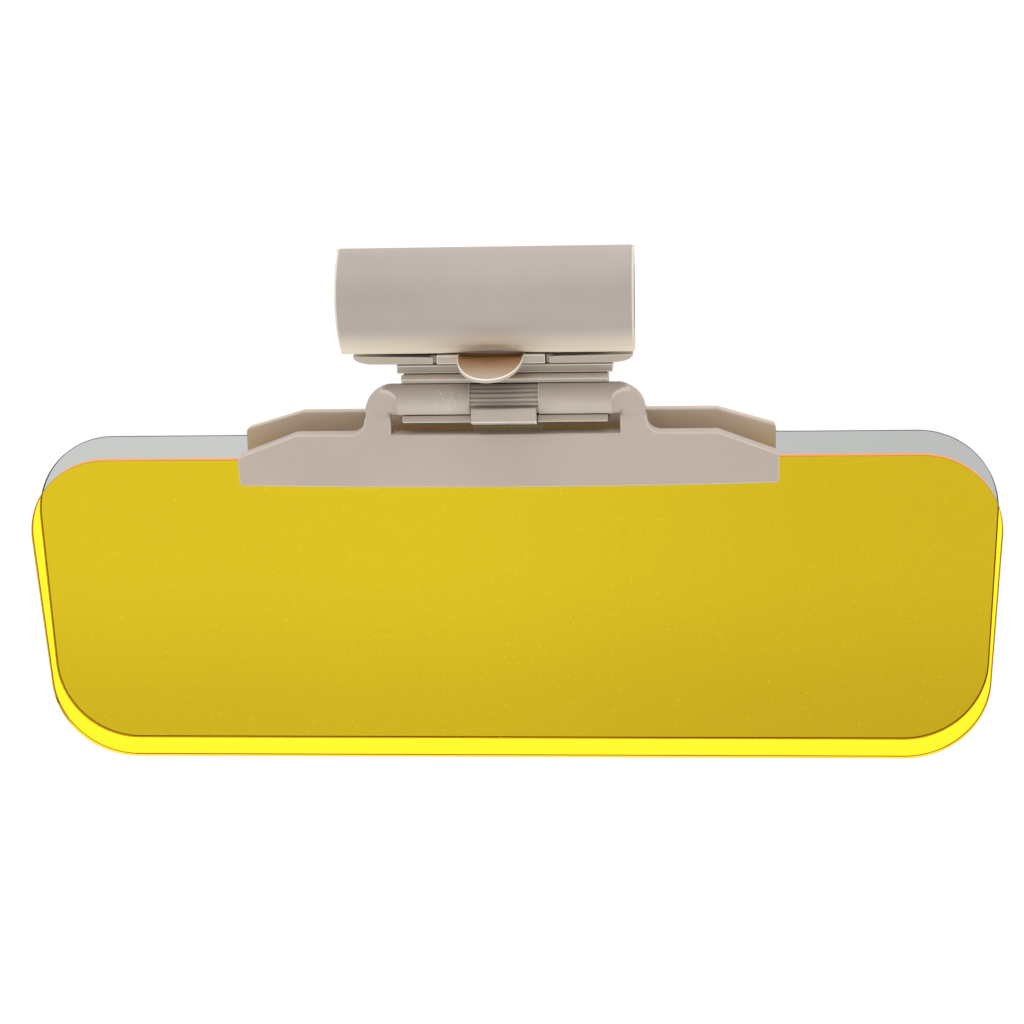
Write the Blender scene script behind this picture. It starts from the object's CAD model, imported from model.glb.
"""Looks for the clip-on sun visor extender: detailed meshes, materials, light and camera."""
import math

import bmesh
import bpy
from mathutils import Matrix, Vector

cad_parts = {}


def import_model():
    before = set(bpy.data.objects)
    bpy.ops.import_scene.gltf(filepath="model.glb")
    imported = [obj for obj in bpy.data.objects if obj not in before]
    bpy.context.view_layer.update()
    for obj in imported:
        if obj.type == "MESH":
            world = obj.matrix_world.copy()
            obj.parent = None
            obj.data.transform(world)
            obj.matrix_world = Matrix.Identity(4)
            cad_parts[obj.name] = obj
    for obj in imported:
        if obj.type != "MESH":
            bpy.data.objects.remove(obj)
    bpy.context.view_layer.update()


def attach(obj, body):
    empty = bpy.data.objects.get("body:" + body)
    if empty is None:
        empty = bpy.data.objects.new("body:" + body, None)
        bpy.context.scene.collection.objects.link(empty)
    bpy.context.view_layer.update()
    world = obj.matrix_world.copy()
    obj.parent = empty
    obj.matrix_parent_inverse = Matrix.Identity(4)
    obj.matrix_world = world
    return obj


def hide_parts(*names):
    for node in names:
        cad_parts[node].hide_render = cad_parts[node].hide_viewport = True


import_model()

# Millimetres in the layout frame: x = 0 is the lenses' middle, y = 0 the front lens's face and
# z = 0 its top edge. GRIP is the point of that frame that is the origin of the CAD.
GRIP = (-4.4, 12.3, 58.0)
LENS = (320.0, 313.5, 106.7, 2.0, 26.8, 27.5)   # top and foot width, height, thickness, corner radii
LENS_BEVEL, HOLE_R = 0.2, 1.5
YELLOW_DROP, GREY_DROP = -0.3, -0.65            # height of each sheet's top edge
FRONT_HOLES = [(-70, -4.4), (-24, -4.8), (24, -4.8), (70, -4.4)]
REAR_HOLES = [(-70, -7.0), (-24, -9.0), (24, -9.0), (70, -7.0)]
BAR_HALF, BAR_FRONT, BAR_BACK, BAR_TOP, BAR_SHOULDER = 87.5, -1.6, 3.6, 8.3, 68.2
BAR_BOTTOM, BAR_BOTTOM_MID = -8.8, -9.8
LEG_IN, LEG_OUT, COVER_T, GAP = 36.9, 45.4, 1.3, 0.3
ROD_R, ROD_Y, ROD_Z = 5.1, 1.0, 19.45
TOOTH_HALF, TOOTH_ROOT, TOOTH_TIP, TEETH = 10.9, 3.95, 4.75, 18
REAR_AT, REAR_TILT, REAR_ROD_Z = (14.07, 4.4), math.radians(5.1), 4.9
REAR_NOTCH, REAR_LENS_NOTCH, REAR_BOTTOM = -3.0, -4.7, -13.0
REAR_HALF, REAR_TOP, NOTCH_HALF = BAR_HALF - 0.6, 7.4, LEG_IN + 1.4
SOCKET_HALF, SOCKET_TOP, BORE, WALL, REAR_WALL = 33.0, 26.4, 5.4, 7.6, 7.4
PAWL_HALF, PAWL_BORE = 10.4, BORE + 0.35
CLIP_X, SHELL_C, SHELL_R, SHELL_T = -4.4, (13.9, 49.65), 17.6, 2.2
SHELL_X0, SHELL_X1 = -52.6, 41.8
SHELL_ABOVE, SHELL_BELOW = 78.6, 54.0           # degrees of arc above and below the level front
SHELL_LIP = (5.0, 33.2)
LIP_ARCH = 0.6                                  # finger relief in the shell's lower lip
HINGE, KNUCKLE_R, PIN_R, PIN_HALF = (6.0, 41.0), 3.1, 1.2, 40.8
JAW_X0, JAW_X1, PLATE_Y0, PLATE_Y1, PLATE_TOP = -48.9, 41.1, 14.3, 16.8, 64.3
FLANGE_Z0, FLANGE_Z1, FLANGE_FRONT = 29.8, 32.6, 5.0
COLLAR_Z0, COLLAR_Z1, COLLAR_HALF, COLLAR_SHIFT = 26.7, 29.5, 34.8, -0.17
TAB_HALF, TAB_REACH, TAB_SLOPE = 10.7, 19.5, 0.195
TAB_X = CLIP_X + 0.1
TONGUE_HALF, SLOT_HALF = 17.4, 18.7
SCREW_X, SCREW_Y = 28.0, 11.5
FRONT_PAD = (12.0, 10.7, 60.8, 66.2, -49.0, 38.4)   # face, back, low, high, left, right
REAR_PAD = (12.3, 14.0, 51.8, 63.2, -45.0, 37.0)
DISH = (38.9, 17.4, 6.1)                        # round dish at the rod's end: x, z, radius
LEG_WAIST = 44.85                               # outer side of a leg where it meets the elbow
WIRE_R, COIL_R, COIL_PITCH, COIL_TURNS = 0.44, 2.3, 1.35, 6

# Metres, in the frame of the CAD.
FLOOR_Z, FLOOR_HALF = -0.42, 15.0
# Brightness of the studio from behind the camera (0) to behind the object (1).
WORLD_LEVELS = ((0.0, 0.22), (0.12, 0.30), (0.25, 0.73), (0.4, 0.97), (0.5, 1.0))
# Name, place, aim, watts, size.
LAMPS = (("key", (-0.4, -0.5, 0.9), (0, 0, 0), 3.3, 0.6),
         ("top", (0.2, -0.1, 0.9), (0, 0, 0), 3.3, 0.7),
         ("low_left", (-0.38, -0.34, -0.50), (0, 0, -0.03), 2.1, 0.45),
         ("low_right", (0.42, -0.34, -0.48), (0, 0, -0.03), 2.4, 0.45),
         ("front", (0.1, -0.9, -0.05), (0, 0, -0.02), 0.8, 0.5))
BLACK = (0.0, 0.0, 0.0)


# ---------------------------------------------------------------- geometry helpers
def mm(x, y, z):
    """Layout millimetres to metres in the frame of the CAD."""
    return Vector(((x - GRIP[0]) / 1000, (y - GRIP[1]) / 1000, (z - GRIP[2]) / 1000))


def front_view(u, v, t):
    return mm(u, t, v)


def side_view(u, v, t):
    return mm(t, u, v)


def top_view(u, v, t):
    return mm(u, v, t)


def rear_view(u, v, t):
    c, s = math.cos(REAR_TILT), math.sin(REAR_TILT)
    return mm(u, REAR_AT[0] + t * c + v * s, REAR_AT[1] + v * c - t * s)


def rear_axis():
    c, s = math.cos(REAR_TILT), math.sin(REAR_TILT)
    mid = (BAR_FRONT + BAR_BACK) / 2
    return (REAR_AT[0] + mid * c + REAR_ROD_Z * s, REAR_AT[1] + REAR_ROD_Z * c - mid * s)


def arc(cx, cy, r, a0, a1, n):
    angles = [math.radians(a0 + (a1 - a0) * i / n) for i in range(n + 1)]
    return [(cx + r * math.cos(a), cy + r * math.sin(a)) for a in angles]


def disc(cx, cy, r, n=32):
    return arc(cx, cy, r, 0, 360 - 360 / n, n - 1)


def box(u0, u1, v0, v1):
    return [(u0, v0), (u1, v0), (u1, v1), (u0, v1)]


def area(poly):
    return 0.5 * sum(p[0] * q[1] - q[0] * p[1] for p, q in zip(poly, poly[1:] + poly[:1]))


def soften(poly, r=0.5, n=3, least=25.0):
    """Rounds the corners of an outline that turn by more than `least` degrees."""
    out = []
    for i, p in enumerate(poly):
        a, b = Vector(poly[i - 1]), Vector(poly[(i + 1) % len(poly)])
        q = Vector(p)
        u, v = (a - q), (b - q)
        lu, lv = u.length, v.length
        u, v = u / lu, v / lv
        turn = 180 - math.degrees(u.angle(v))
        if turn < least:
            out.append(tuple(p))
            continue
        d = min(r * math.tan(math.radians(turn / 2)), 0.45 * lu, 0.45 * lv)
        s, e = q + u * d, q + v * d
        for k in range(n + 1):
            t = k / n
            out.append(tuple(s * (1 - t) ** 2 + q * 2 * t * (1 - t) + e * t * t))
    return out


def inset(poly, d):
    out = []
    for i, p in enumerate(poly):
        a, b = poly[i - 1], poly[(i + 1) % len(poly)]
        u = Vector((p[0] - a[0], p[1] - a[1])).normalized()
        v = Vector((b[0] - p[0], b[1] - p[1])).normalized()
        n0, n1 = Vector((-u.y, u.x)), Vector((-v.y, v.x))
        m = (n0 + n1).normalized()
        k = d / max(0.35, m.dot(n1))
        out.append((p[0] + m.x * k, p[1] + m.y * k))
    return out


def loft(rings, slots=None, caps=(0, 0)):
    bm = bmesh.new()
    rows = [[bm.verts.new(p) for p in ring] for ring in rings]
    for k, (a, b) in enumerate(zip(rows, rows[1:])):
        for i in range(len(a)):
            j = (i + 1) % len(a)
            f = bm.faces.new((a[i], a[j], b[j], b[i]))
            if slots:
                f.material_index = slots(k, i) if callable(slots) else slots[k]
    bm.faces.new(rows[0]).material_index = caps[0]
    bm.faces.new(rows[-1]).material_index = caps[1]
    bmesh.ops.recalc_face_normals(bm, faces=bm.faces)
    mesh = bpy.data.meshes.new("mesh")
    for _ in range(4):
        mesh.materials.append(None)
    bm.to_mesh(mesh)
    bm.free()
    return mesh


def merge(*meshes):
    """One mesh that holds several closed shells."""
    bm = bmesh.new()
    for m in meshes:
        bm.from_mesh(m)
    mesh = bpy.data.meshes.new("mesh")
    for _ in range(4):
        mesh.materials.append(None)
    bm.to_mesh(mesh)
    bm.free()
    return mesh


def slab(poly, t0, t1, place, edge=0.0, n=3, slots=None):
    """Outline swept from t0 to t1 with rounded edges of radius `edge`."""
    if area(poly) < 0:
        poly = poly[::-1]
    steps = []
    if edge:
        for k in range(n + 1):
            a = math.pi / 2 * k / n
            steps.append((inset(poly, edge * (1 - math.sin(a))), edge * (1 - math.cos(a))))
        steps = [(p, t0 + d) for p, d in steps] + [(p, t1 - d) for p, d in reversed(steps)]
    else:
        steps = [(poly, t0), (poly, t1)]
    return loft([[place(u, v, t) for u, v in ring] for ring, t in steps],
                slots and [slots(k, len(steps) - 1) for k in range(len(steps) - 1)])


def turned(profile, centre, axis="z", n=40):
    """Body of revolution; profile is (height, radius) pairs along the axis."""
    rings = []
    for h, r in profile:
        ring = []
        for i in range(n):
            a = 2 * math.pi * i / n
            c, s = r * math.cos(a), r * math.sin(a)
            x, y, z = {"x": (h, c, s), "z": (c, s, h)}[axis]
            ring.append(mm(centre[0] + x, centre[1] + y, centre[2] + z))
        rings.append(ring)
    return loft(rings)


def cut(base, *tools):
    """Subtracts closed meshes one after another."""
    for tool in tools:
        a, b = bpy.data.objects.new("work_a", base), bpy.data.objects.new("work_b", tool)
        for o in (a, b):
            bpy.context.scene.collection.objects.link(o)
        mod = a.modifiers.new("cut", "BOOLEAN")
        mod.operation, mod.solver, mod.object = "DIFFERENCE", "EXACT", b
        graph = bpy.context.evaluated_depsgraph_get()
        graph.update()
        fresh = bpy.data.meshes.new_from_object(a.evaluated_get(graph))
        for o in (a, b):
            bpy.data.objects.remove(o, do_unlink=True)
        bm = bmesh.new()
        bm.from_mesh(fresh)
        bmesh.ops.remove_doubles(bm, verts=bm.verts, dist=3e-6)
        bm.to_mesh(fresh)
        bm.free()
        base = fresh
    return base


def edged(mesh, width=0.45, highest=2.0):
    """Puts narrow faces that turn sharply, the moulded edges, on slot 1.

    Faces whose normal points up by more than `highest` keep their slot.
    """
    bm = bmesh.new()
    bm.from_mesh(mesh)
    for f in bm.faces:
        longest = max(e.calc_length() for e in f.edges)
        narrow = f.calc_area() / longest < width / 1000
        sides = [e for e in f.edges if e.is_manifold and e.calc_length() > 0.45 * longest]
        if narrow and f.normal.z < highest and any(e.calc_face_angle() > 0.15 for e in sides):
            f.material_index = 1
    bm.to_mesh(mesh)
    bm.free()
    return mesh


def piece(name, mesh, mats, body, node, angle=32.0):
    """Object with smooth shading, sharp edges kept, riding on a body in a CAD node's place."""
    mats = mats if isinstance(mats, (list, tuple)) else [mats]
    bm = bmesh.new()
    bm.from_mesh(mesh)
    for f in bm.faces:
        f.smooth = True
        f.material_index = min(f.material_index, len(mats) - 1)
    for e in bm.edges:
        sharp = len(e.link_faces) != 2 or e.calc_face_angle(0.0) > math.radians(angle)
        e.smooth = not sharp
    fresh = bpy.data.meshes.new(name)
    for m in mats:
        fresh.materials.append(m)
    bm.to_mesh(fresh)
    bm.free()
    obj = bpy.data.objects.new(name, fresh)
    bpy.context.scene.collection.objects.link(obj)
    # Flat faces keep straight normals beside their bevels.
    even = obj.modifiers.new("even_normals", "WEIGHTED_NORMAL")
    even.mode, even.weight, even.keep_sharp = "FACE_AREA", 50, True
    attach(obj, body)
    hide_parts(node)


# ---------------------------------------------------------------- materials
class Nodes:
    """Small builder for a node material around one Principled BSDF."""

    def __init__(self, name):
        self.mat = bpy.data.materials.new(name)
        self.mat.use_nodes = True
        self.tree = self.mat.node_tree
        self.bsdf = self.tree.nodes["Principled BSDF"]
        self.coord = self.add("ShaderNodeTexCoord").outputs["Object"]

    def add(self, kind, **values):
        node = self.tree.nodes.new(kind)
        for key, value in values.items():
            if key in node.inputs:
                node.inputs[key].default_value = value
            else:
                setattr(node, key, value)
        return node

    def link(self, a, b):
        self.tree.links.new(a, b)

    def noise(self, scale, detail=4.0, rough=0.6, stretch=None):
        at = self.coord
        if stretch:
            m = self.add("ShaderNodeMapping")
            m.inputs["Scale"].default_value = stretch
            self.link(self.coord, m.inputs["Vector"])
            at = m.outputs["Vector"]
        n = self.add("ShaderNodeTexNoise", Scale=scale, Detail=detail, Roughness=rough)
        self.link(at, n.inputs["Vector"])
        return n.outputs["Fac"]

    def ramp(self, fac, stops):
        r = self.add("ShaderNodeValToRGB").color_ramp
        node = self.tree.nodes[-1]
        while len(r.elements) < len(stops):
            r.elements.new(0.5)
        for e, (pos, col) in zip(r.elements, stops):
            e.position = pos
            e.color = (*col, 1.0) if isinstance(col, (tuple, list)) else (col, col, col, 1.0)
        self.link(fac, node.inputs["Fac"])
        return node.outputs["Color"]

    def mix(self, fac, a, b, kind="MIX"):
        m = self.add("ShaderNodeMix", data_type="RGBA", blend_type=kind)
        for value, socket in ((fac, m.inputs[0]), (a, m.inputs[6]), (b, m.inputs[7])):
            if hasattr(value, "is_linked"):
                self.link(value, socket)
            elif isinstance(value, (int, float)):
                socket.default_value = value
            else:
                socket.default_value = (*value, 1.0)
        return m.outputs[2]

    def fade(self, axis, start, stop):
        """0 to 1 along an axis of the row frame, metres; "R" is the distance from x = 0 of the CAD."""
        split = self.add("ShaderNodeSeparateXYZ")
        self.link(self.coord, split.inputs[0])
        value = split.outputs["X" if axis == "R" else axis]
        if axis == "R":
            for step in (("ADD", GRIP[0] / 1000), ("ABSOLUTE", 0.0)):
                m = self.add("ShaderNodeMath", operation=step[0])
                m.inputs[1].default_value = step[1]
                self.link(value, m.inputs[0])
                value = m.outputs[0]
        span = self.add("ShaderNodeMapRange", interpolation_type="SMOOTHSTEP")
        span.inputs["From Min"].default_value = start
        span.inputs["From Max"].default_value = stop
        self.link(value, span.inputs["Value"])
        return span.outputs["Result"]

    def bump(self, height, strength, distance):
        b = self.add("ShaderNodeBump", Strength=strength, Distance=distance)
        self.link(height, b.inputs["Height"])
        if self.bsdf.inputs["Normal"].is_linked:
            self.link(self.bsdf.inputs["Normal"].links[0].from_socket, b.inputs["Normal"])
        self.link(b.outputs["Normal"], self.bsdf.inputs["Normal"])


def plastic(name, colour, rough=0.42, seed=0.0, tip=None, scuffed=False):
    """Moulded plastic: fine spark texture, faint mottling, rub marks, dust specks.

    `tip` = (axis, start, stop, colour): a second colour the part turns to along an axis.
    `scuffed` adds the elbows' plain colour at the ends and pale scuff marks on the left.
    """
    n = Nodes(name)
    dark = tuple(c * 0.93 for c in colour)
    light = tuple(min(1.0, c * 1.05) for c in colour)
    base = n.ramp(n.noise(18 + seed, 5.0, 0.6), [(0.3, dark), (0.7, light)])
    rub = n.ramp(n.noise(75, 3.0, 0.7, (1.0, 1.0, 3.0)), [(0.66, 0.0), (0.74, 0.12)])
    base = n.mix(rub, base, tuple(min(1.0, c * 1.35 + 0.03) for c in colour))
    speck = n.ramp(n.noise(900, 2.0, 0.4), [(0.74, 0.0), (0.78, 0.22)])
    base = n.mix(speck, base, tuple(min(1.0, c * 1.25 + 0.05) for c in colour))
    if tip:
        plain = base
        base = n.mix(n.fade(*tip[:3]), base, tip[3])
    if scuffed:
        base = n.mix(n.fade("R", 0.0375, 0.0410), base, plain)
        marks = n.ramp(n.noise(950, 4.0, 0.7), [(0.575, 0.0), (0.65, 0.38)])
        for axis, start, stop in (("X", -0.024, -0.019), ("X", -0.007, -0.012), ("Z", -0.0335, -0.036)):
            marks = n.mix(1.0, marks, n.fade(axis, start, stop), "MULTIPLY")
        base = n.mix(marks, base, (0.78, 0.74, 0.69))
    n.link(base, n.bsdf.inputs["Base Color"])
    gloss = n.ramp(n.noise(60 + seed, 6.0, 0.7), [(0.25, rough - 0.07), (0.75, rough + 0.09)])
    n.link(gloss, n.bsdf.inputs["Roughness"])
    n.bump(n.noise(2600, 3.0, 0.6), 0.10, 0.00006)
    n.bump(n.noise(140, 3.0, 0.5), 0.05, 0.0002)
    n.bsdf.inputs["IOR"].default_value = 1.5
    return n.mat


def lens_sheet(name, tint, glow, strength, right=0.0, low=0.0):
    """Polished acrylic sheet with hairline scratches; denser to the right and to the foot.

    The index of refraction is far below acrylic's 1.49, so that the sheet hardly mirrors or bends.
    """
    n = Nodes(name)
    haze = n.ramp(n.noise(7, 3.0, 0.5), [(0.3, tuple(c * 0.985 for c in tint)), (0.7, tint)])
    for axis, start, stop, drop in (("X", -0.02, 0.14, right), ("Z", -0.095, -0.16, low)):
        if drop:
            dense = tuple(1 - drop for _ in range(3))
            haze = n.mix(1.0, haze, n.mix(n.fade(axis, start, stop), (1, 1, 1), dense), "MULTIPLY")
    n.link(haze, n.bsdf.inputs["Base Color"])
    dust = n.ramp(n.noise(1300, 1.0, 0.3), [(0.77, 0.0), (0.8, 0.35)])
    hair = n.ramp(n.noise(90, 2.0, 0.4, (1.0, 1.0, 26.0)), [(0.72, 0.0), (0.74, 0.12)])
    n.link(n.mix(0.5, dust, hair, "ADD"), n.bsdf.inputs["Roughness"])
    n.bump(n.noise(110, 2.0, 0.4, (1.0, 1.0, 22.0)), 0.012, 0.00003)
    s = n.bsdf.inputs
    s["Transmission Weight"].default_value = 1.0
    s["IOR"].default_value = 1.1
    s["Emission Color"].default_value = (*glow, 1.0)
    s["Emission Strength"].default_value = strength
    return n.mat


def lens_rim(name, colour, glow, strength):
    """Cut edge of a lens sheet with fine saw marks."""
    n = Nodes(name)
    base = n.ramp(n.noise(300, 3.0, 0.6), [(0.3, tuple(c * 0.85 for c in colour)), (0.7, colour)])
    n.link(base, n.bsdf.inputs["Base Color"])
    n.link(n.ramp(n.noise(500), [(0.2, 0.25), (0.8, 0.45)]), n.bsdf.inputs["Roughness"])
    n.bump(n.noise(900, 2.0, 0.5, (1.0, 1.0, 0.1)), 0.1, 0.00005)
    n.bsdf.inputs["Emission Color"].default_value = (*glow, 1.0)
    n.bsdf.inputs["Emission Strength"].default_value = strength
    return n.mat


def rubber(name, colour):
    n = Nodes(name)
    pale = tuple(c * 1.8 + 0.01 for c in colour)
    n.link(n.ramp(n.noise(45, 5.0), [(0.3, colour), (0.75, pale)]), n.bsdf.inputs["Base Color"])
    n.link(n.ramp(n.noise(200, 4.0), [(0.2, 0.72), (0.8, 0.92)]), n.bsdf.inputs["Roughness"])
    n.bump(n.noise(1500, 3.0), 0.25, 0.0001)
    return n.mat


def steel(name, colour, along=(1.0, 1.0, 1.0)):
    n = Nodes(name)
    dark = tuple(c * 0.72 for c in colour)
    n.link(n.ramp(n.noise(260, 4.0, 0.6, along), [(0.3, dark), (0.7, colour)]),
           n.bsdf.inputs["Base Color"])
    n.link(n.ramp(n.noise(420, 4.0), [(0.2, 0.22), (0.8, 0.42)]), n.bsdf.inputs["Roughness"])
    n.bump(n.noise(900, 3.0, 0.6, along), 0.12, 0.00005)
    n.bsdf.inputs["Metallic"].default_value = 1.0
    return n.mat


# ---------------------------------------------------------------- lenses
def lens_outline(notch=None, top=0.0):
    top_w, low_w, h, _, rt, rb = LENS
    a, b = Vector((top_w / 2, 0.0)), Vector((low_w / 2, -h))
    d = (b - a).normalized()
    lean = math.degrees(math.atan2(-d.x, -d.y))
    n = Vector((-d.y, d.x))
    xt = a.x + (-rt + rt * n.y) / n.x
    xb = a.x + (-rb - (-h + rb) * n.y) / n.x
    right = arc(xb, -h + rb, rb, -90, -lean, 32) + arc(xt, -rt + top, rt, -lean, 90, 32)
    left = [(-x, z) for x, z in reversed(right)]
    if notch is None:
        return right + left
    w = NOTCH_HALF
    return right + [(w, top), (w - 0.6, notch), (-w + 0.6, notch), (-w, top)] + left


def rim_slots(k, count):
    """Slot 1 for both bevels, slot 2 for the flat of the rim."""
    return 2 if k == count // 2 else 1


def lens(name, view, notch, top, holes, mats, body, node):
    """Sheet; the rim's flat shows its glow only where it faces up."""
    mesh = slab(lens_outline(notch, top), 0.0, LENS[3], view, LENS_BEVEL, 2, rim_slots)
    mesh = cut(mesh, *[slab(disc(x, z, HOLE_R, 24), -1, LENS[3] + 1, view) for x, z in holes])
    for f in mesh.polygons:
        if f.material_index == 2 and f.normal.z < 0.2:
            f.material_index = 0
    piece(name, mesh, mats, body, node, 40)


# ---------------------------------------------------------------- holders
def rod(y, z, domed=True):
    """Rod along x with a toothed waist; the ends are domed, or cut off inside the elbows."""
    n, end = TEETH * 8, LEG_IN + 4.0
    stations = [(-LEG_IN + 2.5, 1.0, 0)]
    if domed:
        dome = [(0, 0.30), (0.25, 0.50), (0.7, 0.68), (1.6, 0.84), (2.8, 0.94), (4.2, 0.99),
                (5.4, 1.0)]
        stations = [(d - end, k, 0) for d, k in dome]
    stations += [(-TOOTH_HALF - 0.4, 1.0, 0), (-TOOTH_HALF - 0.28, 0.997, 1),
                 (-TOOTH_HALF - 0.1, 0.985, 1), (-TOOTH_HALF, 0.96, 0), (-TOOTH_HALF + 0.02, 1.0, 0)]
    half = len(stations)
    stations += [(-x, k, t) for x, k, t in reversed(stations)]
    rings = []
    for i, (x, k, _) in enumerate(stations):
        toothed = i in (half - 1, half)
        ring = []
        for j in range(n):
            a = 2 * math.pi * j / n
            wave = 1 - abs(2 * ((j / 8.0) % 1.0) - 1)
            wave = min(1.0, max(0.0, (wave - 0.1) * 1.6))
            r = TOOTH_ROOT + (TOOTH_TIP - TOOTH_ROOT) * wave if toothed else ROD_R * k
            ring.append(mm(x, y + r * math.cos(a), z + r * math.sin(a)))
        rings.append(ring)
    slots = [1 if stations[i][2] and stations[i + 1][2] else 0 for i in range(len(stations) - 1)]
    return loft(rings, slots)


def smooth(t):
    """Eases from 0 to 1."""
    t = min(1.0, max(0.0, t))
    return t * t * (3 - 2 * t)


def power(c, n):
    """Coordinate of a superellipse: n = 2 is round, a large n is square."""
    return math.copysign(abs(c) ** (2 / n), c)


def elbow(side):
    """Bend from the round rod into the flat leg; the rod ends in a round dish on the leg."""
    cx, cz, radius = DISH
    low, turn, flat = ROD_Z - ROD_R, math.pi / 2, (BAR_BACK - BAR_FRONT) / 2
    path = [(LEG_IN - 3.4 + 0.2 * i, 0.0, 0.0) for i in range(17)]
    path += [(LEG_IN, turn * i / 36, 0.0) for i in range(37)] + [(LEG_IN - 0.04, turn, 0.65)]
    rings, rows = [], []
    for x, phi, drop in path:
        k = phi / turn
        size = 2 * ROD_R * (1 - k) + (LEG_WAIST - LEG_IN) * k + 0.14 * (drop > 0)
        n = 2 + 6.0 * k * k
        ring, row = [], []
        for i in range(96):
            a = 2 * math.pi * i / 96
            r = size / 2 * (1 + power(math.cos(a), n))
            u, w = x + r * math.sin(phi), low - drop + r * math.cos(phi)
            inside = radius - math.hypot(u - cx, w - cz)
            fall = min(1.0, max(0.0, inside / 4.6))
            fade = max(fall * (2 - fall), smooth((u - cx + 1.5) / 4.5), k * k * k)
            depth = ROD_R + (flat - ROD_R) * fade + 0.03 * (drop > 0)
            ring.append(mm(side * u, ROD_Y + depth * power(math.sin(a), n), w))
            row.append(0 if k == 1 or inside > 1.1 or u > cx + 1 else 2 if inside < 0 else 1)
        rings.append(ring)
        rows.append(row)
    return loft(rings, lambda k, i: rows[k][i])


def bar_foot(half, bottom, bottom_mid):
    pts = [(half * k, bottom_mid + (bottom - bottom_mid) * k * k) for k in (0.0, 0.2, 0.4, 0.6, 0.8)]
    return pts + arc(half - 1.2, bottom + 1.2, 1.2, -85, 0, 6)


def bar_half(half, top, end_top, bottom, bottom_mid):
    pts = bar_foot(half, bottom, bottom_mid)
    pts += arc(half - 1.6, end_top - 1.2, 1.6, 0, 62, 6)
    return pts + arc(BAR_SHOULDER - 0.6, top - 2.0, 2.0, 68, 88, 3)


def mirrored(right):
    return right + [(-x, z) for x, z in reversed(right) if abs(x) > 1e-9]


def front_holder_mesh():
    right = bar_half(BAR_HALF, BAR_TOP, 1.0, BAR_BOTTOM, BAR_BOTTOM_MID)
    right += arc(LEG_OUT + 4.6, BAR_TOP + 4.6, 4.6, 270, 180, 12)
    right += [(LEG_WAIST, ROD_Z - ROD_R + 0.05), (LEG_IN, ROD_Z - ROD_R + 0.05), (LEG_IN, BAR_TOP)]
    body = slab(mirrored(right), BAR_FRONT, BAR_BACK, front_view, 0.45, 3)
    seat = slab(box(-BAR_HALF - 3, BAR_HALF + 3, -14, GAP), BAR_FRONT + COVER_T, 9, front_view)
    body = edged(cut(body, seat))
    for f in body.polygons:
        x, z = f.center.x * 1000 + GRIP[0], f.center.z * 1000 + GRIP[2]
        if abs(x) < LEG_OUT + 0.2 and BAR_TOP - 0.6 < z and (abs(x) < LEG_IN - 0.2 or z > 13.6):
            f.material_index = 0
    bar = rod(ROD_Y, ROD_Z, False)
    for f in bar.polygons:
        f.material_index = 1 if f.material_index else 2
    return merge(body, elbow(-1), elbow(1), bar)


def rear_holder_mesh():
    right = bar_half(REAR_HALF, REAR_TOP, 1.9, REAR_BOTTOM, REAR_BOTTOM)
    top = REAR_ROD_Z + ROD_R - 1.2
    right += arc(LEG_OUT + 0.4, REAR_TOP + 2.0, 2.0, 270, 205, 6)
    right += arc(LEG_IN + 1.5, top - 5.0, 5.0, 20, 90, 8)
    right += [(LEG_IN, top), (LEG_IN, REAR_NOTCH + 1.0), (LEG_IN - 1.0, REAR_NOTCH)]
    body = slab(mirrored(right), BAR_FRONT, BAR_BACK, rear_view, 0.7, 3)
    w = NOTCH_HALF - GAP
    seat = [(-100, -16), (100, -16), (100, GAP), (w, GAP), (w - 0.6, REAR_LENS_NOTCH + GAP),
            (-w + 0.6, REAR_LENS_NOTCH + GAP), (-w, GAP), (-100, GAP)]
    body = cut(body, slab(seat, BAR_FRONT + COVER_T, 9, rear_view))
    bar = rod(*rear_axis())
    for f in bar.polygons:
        if abs(f.center.x * 1000 + GRIP[0]) < TOOTH_HALF + 0.5:
            f.material_index = 2
    return merge(edged(body, 0.6), bar)


def back_plate_mesh(view, half, bottom, bottom_mid, holes, notch=None):
    pts = bar_foot(half, bottom, bottom_mid) + [(half, 0.0)]
    if notch is not None:
        pts += [(LEG_IN + 2.0, 0.0), (NOTCH_HALF, notch)]
    body = slab(soften(mirrored(pts), 0.5), LENS[3] + GAP, BAR_BACK, view, 0.35, 3)
    return edged(cut(body, *[slab(disc(x, z, HOLE_R, 24), 0, 6, view) for x, z in holes]))


def cross(x, z, depth0, depth1, view, size=1.15, width=0.34):
    """Cutter for a crossed screw recess."""
    arms = [(-size, -width), (-width, -width), (-width, -size), (width, -size), (width, -width),
            (size, -width), (size, width), (width, width), (width, size), (-width, size),
            (-width, width), (-size, width)]
    return slab([(x + u, z + v) for u, v in arms], depth0, depth1, view)


def lens_screw_mesh(x, z, view):
    y1 = BAR_BACK + GAP
    rings = []
    profile = [(0.25, 0.8), (0.5, 1.1), (y1, 1.1), (y1, 2.02), (y1 + 0.06, 2.1), (y1 + 0.25, 2.08),
               (y1 + 0.6, 1.95), (y1 + 0.85, 1.7), (y1 + 1.02, 1.3), (y1 + 1.09, 0.8)]
    for y, r in profile:
        rings.append([view(x + r * math.cos(a), z + r * math.sin(a), y)
                      for a in [2 * math.pi * i / 40 for i in range(40)]])
    return cut(loft(rings), cross(x, z, y1 + 0.45, y1 + 2, view))


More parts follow.
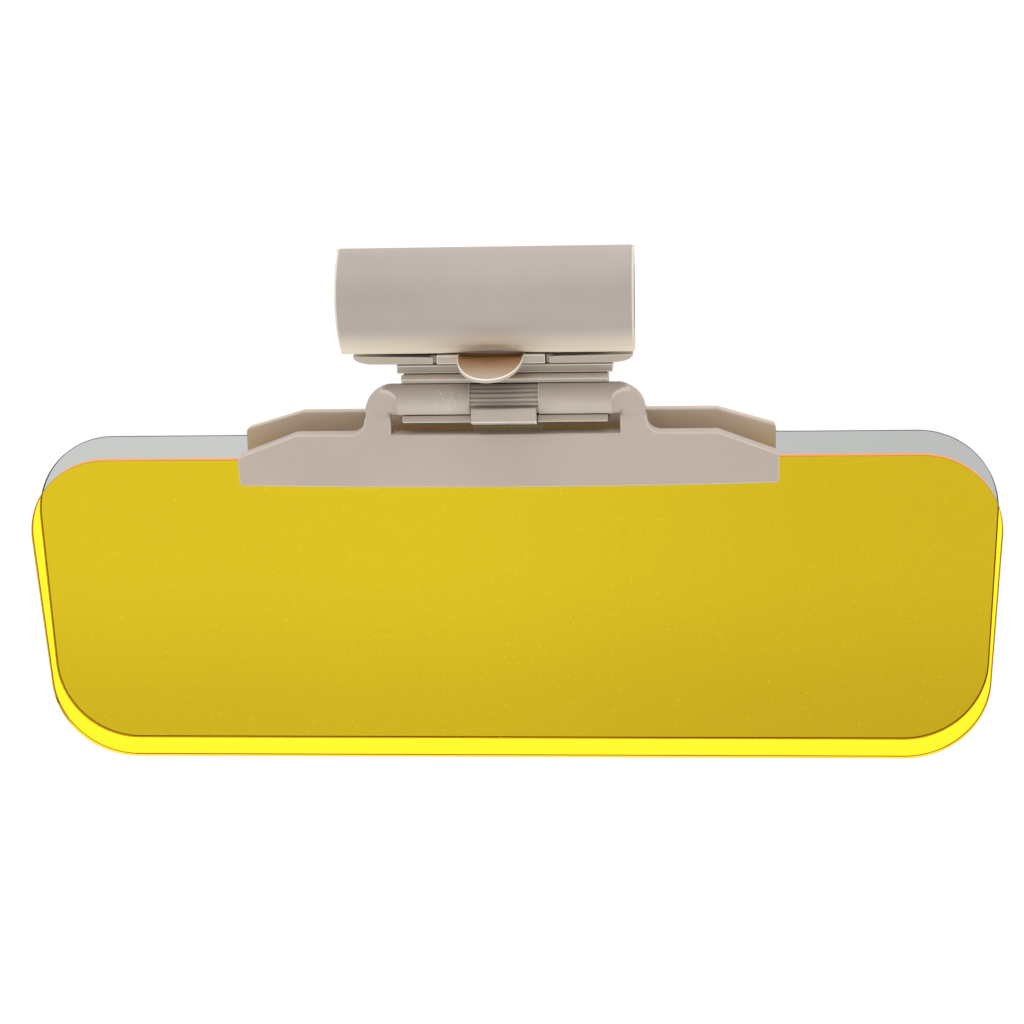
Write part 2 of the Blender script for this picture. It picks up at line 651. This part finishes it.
# ---------------------------------------------------------------- bracket
def socket_mesh():
    fy, fz, ry, rz = ROD_Y, ROD_Z, *rear_axis()
    pts = [(0.5, SOCKET_TOP - 0.4), (0.5, fz + BORE - 0.02)]
    pts += arc(fy, fz, BORE, 93, -115, 48)
    pts += arc(fy, fz, WALL, -115, -62, 14)
    a = math.radians(160)
    pts += [(ry + REAR_WALL * math.cos(a), rz + REAR_WALL * math.sin(a))]
    pts += arc(ry, rz, BORE, 160, -20, 44)
    pts += arc(ry, rz, REAR_WALL, -20, 50, 16)
    pts += [(17.6, 23.0), (17.6, SOCKET_TOP), (0.9, SOCKET_TOP)]
    body = slab(soften(pts, 0.45, 3, 40), -SOCKET_HALF, SOCKET_HALF, side_view, 0.35, 3)
    w = PAWL_HALF + 0.4
    front = slab([(-5, 8), (8.6, 8), (8.6, 13.9), (4.2, 14.6), (-5, 16.4)], -w, w, side_view)
    back = slab([(ry + 4.3, 2), (ry + 11, 2), (ry + 11, 17.6), (ry + 4.3, 17.6)], -w, w, side_view)
    cap = [(-33.6, 5.2), (-33.05, 0.6), (33.0, 0.6), (33.1, 5.2)]
    cap = slab(cap, 25.2, 26.35, top_view, 0.2, 2)
    return merge(edged(cut(body, front, back), 0.45, 0.2), cap)


def front_pawl_mesh():
    pts = [(8.2, 12.3), (8.2, 13.6), (2.2, 13.6)]
    pts += arc(ROD_Y, ROD_Z, PAWL_BORE, -92, -160, 14)
    pts += [(-4.6, 17.8), (-5.2, 18.0), (-5.9, 17.9), (-6.1, 17.4), (-6.1, 13.6), (-5.4, 12.75),
            (-4.2, 12.3)]
    body = slab(soften(pts, 0.4, 3, 35), -PAWL_HALF, PAWL_HALF, side_view, 0.3, 3)
    return edged(body, 0.45, -0.1)


def rear_pawl_mesh():
    ry, rz = rear_axis()
    pts = arc(ry, rz, PAWL_BORE, -24, 30, 14)
    pts += [(ry + 4.9, 17.2), (ry + 6.2, 17.2)] + arc(ry, rz, 7.2, 33, -24, 14)
    return edged(slab(soften(pts, 0.3), -PAWL_HALF, PAWL_HALF, side_view, 0.3, 3))


def collar_mesh():
    body = soften(box(5.2, 17.6, COLLAR_Z0, COLLAR_Z1), 0.45)
    x0, x1 = COLLAR_SHIFT - COLLAR_HALF, COLLAR_SHIFT + COLLAR_HALF
    return edged(slab(body, x0, x1, side_view, 0.3, 3), 0.45, 0.2)


def bracket_screw_mesh(x):
    z1 = FLANGE_Z1 + GAP
    screw = turned([(21.6 - z1, 0.5), (22.6 - z1, 1.15), (0.0, 1.15), (0.0, 1.82), (0.05, 1.9),
                    (0.5, 1.88), (0.8, 1.78), (1.05, 1.5), (1.18, 1.1)], (x, SCREW_Y, z1))
    return cut(screw, cross(x, SCREW_Y, z1 + 0.55, z1 + 3, top_view, 1.05, 0.3))


# ---------------------------------------------------------------- clip
def jaw_web(s):
    """Hinge web at one side of the fixed jaw, bored for the pin."""
    web = arc(*HINGE, KNUCKLE_R, -45, -300, 28)
    web += [(13.0, 43.5), (PLATE_Y0 + 0.8, 45.5), (PLATE_Y0 + 0.8, FLANGE_Z1 - 0.6),
            (10.0, FLANGE_Z1 - 0.6), (10.0, 37.2)]
    x0, x1 = sorted((CLIP_X + s * 36.0, CLIP_X + s * 39.0))
    body = slab(web, x0, x1, side_view, 0.25, 2)
    return cut(body, slab(disc(*HINGE, PIN_R + GAP, 32), x0 - 1, x1 + 1, side_view))


def back_jaw_mesh():
    """Back plate with ribs, flange with upswept ends and the tongue slot, hinge webs."""
    plate = soften(box(JAW_X0, JAW_X1, FLANGE_Z0 + 0.3, PLATE_TOP), 6.5, 12)
    plate = slab(plate, PLATE_Y0, PLATE_Y1, front_view, 0.6, 4)
    rise, sweep = FLANGE_Z1 - FLANGE_Z0 - 0.35, 7.0
    curve = [(sweep * (1 - math.sin(a)), FLANGE_Z0 + rise * (1 - math.cos(a)))
             for a in [math.pi / 2 * i / 12 for i in range(13)]]
    left = [(JAW_X0 + u, z) for u, z in reversed(curve)]
    left += [(CLIP_X - SLOT_HALF, FLANGE_Z0), (CLIP_X - SLOT_HALF, FLANGE_Z1 - 0.5),
             (JAW_X0, FLANGE_Z1)]
    right = [(CLIP_X + SLOT_HALF, FLANGE_Z0)] + [(JAW_X1 - u, z) for u, z in curve]
    right += [(JAW_X1, FLANGE_Z1), (CLIP_X + SLOT_HALF, FLANGE_Z1 - 0.5)]
    wings = [edged(slab(w, FLANGE_FRONT, PLATE_Y1 - 0.2, front_view, 0.3, 3))
             for w in (left, right)]
    step, end = TONGUE_HALF + 0.4, SLOT_HALF + 1.0
    fills = [slab(box(6.1, PLATE_Y1 - 0.3, FLANGE_Z0 + 0.15, FLANGE_Z1 - 0.15),
                  CLIP_X + x0, CLIP_X + x1, side_view) for x0, x1 in ((-end, -step), (step, end))]
    fills.append(slab(box(13.0, PLATE_Y1 - 0.3, FLANGE_Z0 + 0.15, FLANGE_Z1 - 0.15),
                      CLIP_X - end, CLIP_X + end, side_view))
    ribs = []
    for i in range(5):
        z = 39.0 + i * 4.6
        rib = soften(box(JAW_X0 + 9, JAW_X1 - 9, z, z + 1.4), 0.6, 4)
        ribs.append(slab(rib, PLATE_Y1 - 0.6, PLATE_Y1 + 0.6, front_view, 0.3, 2))
    return merge(edged(plate), *wings, *fills, jaw_web(-1), jaw_web(1), *ribs)


def shell_rib(s):
    rib = arc(*HINGE, KNUCKLE_R, -70, 100, 20) + [(2.0, 47.5), (-1.6, 49.8)]
    rib += arc(*SHELL_C, SHELL_R - 1.3, 181, 235, 12)
    x0, x1 = sorted((CLIP_X + s * 31.0, CLIP_X + s * 34.5))
    return cut(slab(rib, x0, x1, side_view),
               slab(disc(*HINGE, PIN_R + GAP, 32), x0 - 1, x1 + 1, side_view))


def shell_mesh():
    """Round front jaw: thin shell with a turned-in top edge, ribs and an arched lower lip."""
    c = SHELL_C
    outer = arc(*c, SHELL_R, 180 - SHELL_ABOVE, 180 + SHELL_BELOW, 96)
    outer += [SHELL_LIP, (SHELL_LIP[0] + 1.9, SHELL_LIP[1] + 1.2)]
    inner = arc(*c, SHELL_R - SHELL_T, 180 + SHELL_BELOW, 113, 72)
    pts = outer + inner + [(8.0, 60.6), (8.4, 60.2), (10.0, 60.2), (10.4, 60.6)]
    body = edged(slab(soften(pts, 0.7, 4, 40), SHELL_X0, SHELL_X1, side_view, 0.7, 4))
    bm = bmesh.new()
    bm.from_mesh(body)
    for f in bm.faces:
        if f.calc_center_median().z * 1000 + GRIP[2] < 37.0:
            f.material_index = 0
    # Only the full-width edges are cut up, so that the lip can arch along x.
    spans = [e for e in bm.edges if e.calc_length() > 0.05]
    bmesh.ops.subdivide_edges(bm, edges=spans, cuts=47, use_grid_fill=True)
    for v in bm.verts:
        x, z = v.co.x * 1000 + GRIP[0], v.co.z * 1000 + GRIP[2]
        lift = LIP_ARCH * math.exp(-((x - CLIP_X - 1.0) / 11.0) ** 2) * smooth((37.5 - z) / 3.5)
        v.co.z += lift / 1000
        v.co.y += 0.5 * lift / 1000
    bm.to_mesh(body)
    bm.free()
    return merge(body, shell_rib(-1), shell_rib(1))


def tab_mesh():
    """Scooped U-shaped thumb tab: pale rim on slot 1, warm hollow on slot 2."""
    n = 48
    rim = [(TAB_HALF * math.cos(math.pi * i / n), TAB_REACH * math.sin(math.pi * i / n) ** 0.8)
           for i in range(n + 1)]
    rim = [(TAB_HALF, -1.6)] + rim + [(-TAB_HALF, -1.6)]
    steps = [(0.985, -0.7), (1.0, -0.5), (1.0, 0.3), (0.995, 0.5), (0.988, 0.6), (0.978, 0.6),
             (0.968, 0.5), (0.95, 0.25), (0.92, 0.0), (0.86, -0.2), (0.7, -0.35), (0.5, -0.4),
             (0.3, -0.4)]
    rings = []
    for k, lift in steps:
        rings.append([mm(TAB_X + x * k, 5.6 - d * k, 32.5 - max(0.0, d * k - 3.0) * TAB_SLOPE + lift)
                      for x, d in rim])
    return loft(rings, [0, 0, 1, 1, 1, 1] + [2] * 6, (0, 2))


def lever_mesh():
    x0, x1 = CLIP_X - TONGUE_HALF, CLIP_X + TONGUE_HALF
    knuckle = slab(disc(*HINGE, KNUCKLE_R - 0.2, 40), x0, x1, side_view, 0.3, 2)
    web = [(5.5, 39.2), (8.2, 39.6), (9.7, 37.4), (9.7, 32.6), (9.0, 31.0), (8.0, 30.5),
           (6.0, 30.5), (4.9, 29.9), (4.2, 30.0), (4.2, 32.9), (7.0, 33.1), (8.0, 34.2),
           (7.7, 36.3), (6.6, 37.3)]
    bore = slab(disc(*HINGE, PIN_R + GAP, 32), x0 - 1, x1 + 1, side_view)
    web = edged(slab(soften(web, 0.4), x0, x1, side_view, 0.3, 3))
    hollow = slab(box(3.0, 7.2, 31.9, 34.0), TAB_X - 10.3, TAB_X + 10.3, side_view)
    return merge(cut(knuckle, bore), cut(web, bore, hollow), tab_mesh())


def spring_mesh(side):
    """Coil round the hinge pin with one leg on the flange and one up the shell."""
    start, pitch, r, steps = CLIP_X + side * 20.2, side * COIL_PITCH, COIL_R, 28
    pts = [Vector((start, 12.4, 33.25))]
    a0 = math.radians(-20)
    for i in range(COIL_TURNS * steps + 10):
        a = a0 - 2 * math.pi * i / steps
        pts.append(Vector((start + pitch * i / steps, HINGE[0] + r * math.cos(a),
                           HINGE[1] + r * math.sin(a))))
    pts.append(Vector((pts[-1].x + side * 0.3, -0.2, 47.4)))
    rings, normal = [], Vector((1, 0, 0))
    for i, p in enumerate(pts):
        a, b = pts[max(i - 1, 0)], pts[min(i + 1, len(pts) - 1)]
        t = (b - a).normalized()
        normal = (normal - t * normal.dot(t)).normalized()
        other = t.cross(normal)
        rings.append([mm(*(p + WIRE_R * (normal * math.cos(k) + other * math.sin(k))))
                      for k in [2 * math.pi * j / 10 for j in range(10)]])
    return loft(rings)


def pad_mesh(y_face, y_back, z0, z1, x0, x1):
    """Rubber strip, grooved lengthwise on the grip side."""
    s = 1 if y_back > y_face else -1
    pts = [(y_back, z0), (y_back, z1), (y_face, z1)]
    z = z1 - 1.2
    while z > z0 + 1.6:
        pts += [(y_face, z), (y_face + s * 0.35, z - 0.25), (y_face + s * 0.35, z - 0.55),
                (y_face, z - 0.8)]
        z -= 1.9
    pts += [(y_face, z0)]
    return slab(pts, x0, x1, side_view, 0.25, 2)


def pin_mesh():
    x = PIN_HALF
    return turned([(-x, 0.8), (-x + 0.12, 1.05), (-x + 0.4, PIN_R), (x - 0.4, PIN_R),
                   (x - 0.12, 1.05), (x, 0.8)], (CLIP_X, *HINGE), "x", 32)


# ---------------------------------------------------------------- build the pieces
shell_mat = plastic("shell_plastic_mat", (0.395, 0.34, 0.305), 0.40, 1,
                    ("Z", -0.0140, -0.0240, (0.76, 0.67, 0.54)))
scoop_mat = plastic("scoop_plastic_mat", (0.34, 0.175, 0.07), 0.45, 2,
                    ("Y", -0.009, -0.025, (0.46, 0.365, 0.28)))
holder_mat = plastic("holder_plastic_mat", (0.445, 0.37, 0.315), 0.44, 3)
rim_mat = plastic("holder_edge_plastic_mat", (0.54, 0.465, 0.405), 0.42, 8)
rear_mat = plastic("rear_holder_plastic_mat", (0.52, 0.40, 0.29), 0.46, 4)
rod_mat = plastic("rod_plastic_mat", (0.49, 0.42, 0.362), 0.44, 9,
                  ("Z", -0.0405, -0.0325, (0.25, 0.205, 0.168)), True)
bracket_mat = plastic("bracket_plastic_mat", (0.445, 0.38, 0.32), 0.42, 5)
jaw_mat = plastic("jaw_plastic_mat", (0.50, 0.435, 0.36), 0.44, 6)
edge_mat = plastic("pale_edge_plastic_mat", (0.68, 0.60, 0.49), 0.40, 7)
bright_mat = plastic("bright_edge_plastic_mat", (0.86, 0.79, 0.68), 0.40, 10)
yellow_mat = lens_sheet("yellow_acrylic_mat", (1.0, 0.90, 0.028), (1.0, 0.03, 0.0), 0.07)
grey_mat = lens_sheet("grey_acrylic_mat", (0.55, 0.565, 0.55), BLACK, 0.0, 0.13, 0.17)
yellow_line = lens_rim("yellow_edge_line_mat", (0.45, 0.24, 0.03), BLACK, 0.0)
yellow_rim = lens_rim("yellow_rim_mat", (0.85, 0.22, 0.02), (1.0, 0.20, 0.02), 0.32)
grey_line = lens_rim("grey_edge_line_mat", (0.03, 0.032, 0.025), BLACK, 0.0)
grey_rim = lens_rim("grey_rim_mat", (0.75, 0.78, 0.74), BLACK, 0.0)
pad_mat = rubber("pad_rubber_mat", (0.035, 0.034, 0.033))
zinc_mat = steel("zinc_screw_mat", (0.62, 0.62, 0.60))
wire_mat = steel("spring_wire_mat", (0.50, 0.50, 0.51), (1.0, 1.0, 6.0))

piece("shell", shell_mesh(), [shell_mat, edge_mat], "clip_shell", "shell_jaw")
piece("lever", lever_mesh(), [jaw_mat, bright_mat, scoop_mat], "clip_shell", "thumb_lever")
piece("grip_pad_front", pad_mesh(*FRONT_PAD), pad_mat, "clip_shell", "front_pad")
piece("jaw_plate", back_jaw_mesh(), [jaw_mat, edge_mat], "clip_base", "back_jaw")
piece("grip_pad_rear", pad_mesh(*REAR_PAD), pad_mat, "clip_base", "rear_pad")
piece("pin", pin_mesh(), wire_mat, "clip_base", "hinge_pin")
for side, tag in ((-1, "left"), (1, "right")):
    piece("coil_" + tag, spring_mesh(side), wire_mat, "clip_base", "spring_" + tag, 60)
    piece("screw_" + tag, bracket_screw_mesh(side * SCREW_X), zinc_mat, "clip_base",
          "bracket_screw_" + tag)
for name, mesh, node in (("collar", collar_mesh(), "collar_plate"),
                         ("socket", socket_mesh(), "rod_socket"),
                         ("pawl_front", front_pawl_mesh(), "front_pawl"),
                         ("pawl_rear", rear_pawl_mesh(), "rear_pawl")):
    piece(name, mesh, [bracket_mat, bright_mat], "clip_base", node)

piece("holder_front", front_holder_mesh(), [holder_mat, rim_mat, rod_mat], "front_lens_unit",
      "front_holder")
piece("holder_rear", rear_holder_mesh(), [rear_mat, holder_mat, edge_mat], "rear_lens_unit",
      "rear_holder")
front_plate = back_plate_mesh(front_view, BAR_HALF, BAR_BOTTOM, BAR_BOTTOM_MID, FRONT_HOLES)
piece("plate_front", front_plate, [holder_mat, edge_mat], "front_lens_unit", "front_back_plate")
rear_plate = back_plate_mesh(rear_view, REAR_HALF, REAR_BOTTOM, REAR_BOTTOM, REAR_HOLES,
                             REAR_LENS_NOTCH)
piece("plate_rear", rear_plate, [rear_mat, holder_mat], "rear_lens_unit", "rear_back_plate")
lens("lens_yellow", front_view, None, YELLOW_DROP, FRONT_HOLES,
     [yellow_mat, yellow_line, yellow_rim], "front_lens_unit", "yellow_lens")
lens("lens_grey", rear_view, REAR_LENS_NOTCH, GREY_DROP, REAR_HOLES,
     [grey_mat, grey_line, grey_rim], "rear_lens_unit", "grey_lens")
for word, holes, view in (("front", FRONT_HOLES, front_view), ("rear", REAR_HOLES, rear_view)):
    for i, (x, z) in enumerate(holes):
        piece("%s_screw_%d" % (word, i + 1), lens_screw_mesh(x, z, view), zinc_mat,
              word + "_lens_unit", "%s_lens_screw_%d" % (word, i + 1))


# ---------------------------------------------------------------- stage, light, camera
def floor():
    """Plain floor of pale grey that is mostly self-lit, so it reads as white with faint shadows."""
    size, z = FLOOR_HALF, FLOOR_Z
    mesh = bpy.data.meshes.new("floor")
    mesh.from_pydata([(-size, -size, z), (size, -size, z), (size, size, z), (-size, size, z)], [],
                     [(0, 1, 2, 3)])
    n = Nodes("floor_mat")
    n.link(n.ramp(n.noise(0.8), [(0.3, 0.19), (0.7, 0.21)]), n.bsdf.inputs["Base Color"])
    n.bsdf.inputs["Roughness"].default_value = 0.8
    n.bsdf.inputs["Emission Color"].default_value = (1.0, 1.0, 1.0, 1.0)
    n.bsdf.inputs["Emission Strength"].default_value = 0.84
    obj = bpy.data.objects.new("floor", mesh)
    mesh.materials.append(n.mat)
    bpy.context.scene.collection.objects.link(obj)


def world():
    """Studio that is white behind the object and falls to grey behind the camera."""
    w = bpy.data.worlds.new("studio")
    bpy.context.scene.world = w
    w.use_nodes = True
    tree = w.node_tree
    back = tree.nodes["Background"]
    coord = tree.nodes.new("ShaderNodeTexCoord")
    split = tree.nodes.new("ShaderNodeSeparateXYZ")
    span = tree.nodes.new("ShaderNodeMapRange")
    ramp = tree.nodes.new("ShaderNodeValToRGB")
    span.inputs["From Min"].default_value = -1.0
    span.inputs["From Max"].default_value = 1.0
    tree.links.new(coord.outputs["Generated"], split.inputs[0])
    tree.links.new(split.outputs["Y"], span.inputs["Value"])
    tree.links.new(span.outputs["Result"], ramp.inputs["Fac"])
    tree.links.new(ramp.outputs["Color"], back.inputs["Color"])
    e = ramp.color_ramp.elements
    while len(e) < len(WORLD_LEVELS):
        e.new(0.5)
    for item, (at, level) in zip(e, WORLD_LEVELS):
        item.position, item.color = at, (level, level, level, 1)
    back.inputs["Strength"].default_value = 1.0


def lamp(name, at, target, power, size):
    """Soft area light that is not itself seen, mirrored or seen through a lens."""
    data = bpy.data.lights.new(name, "AREA")
    data.energy, data.size = power, size
    obj = bpy.data.objects.new(name, data)
    obj.location = at
    obj.rotation_euler = (Vector(target) - Vector(at)).to_track_quat("-Z", "Y").to_euler()
    obj.visible_glossy = obj.visible_transmission = obj.visible_camera = False
    bpy.context.scene.collection.objects.link(obj)


def camera():
    data = bpy.data.cameras.new("camera")
    data.lens, data.sensor_width = 76.521, 36.0
    data.clip_start, data.clip_end = 0.01, 100.0
    obj = bpy.data.objects.new("camera", data)
    obj.location = mm(56.4, -666.47, 214.06)
    obj.rotation_euler = [math.radians(a) for a in (70.7958, 1.7451, 4.1235)]
    bpy.context.scene.collection.objects.link(obj)
    bpy.context.scene.camera = obj


floor()
world()
camera()
for values in LAMPS:
    lamp(*values)
bpy.context.scene.view_settings.view_transform = "Standard"
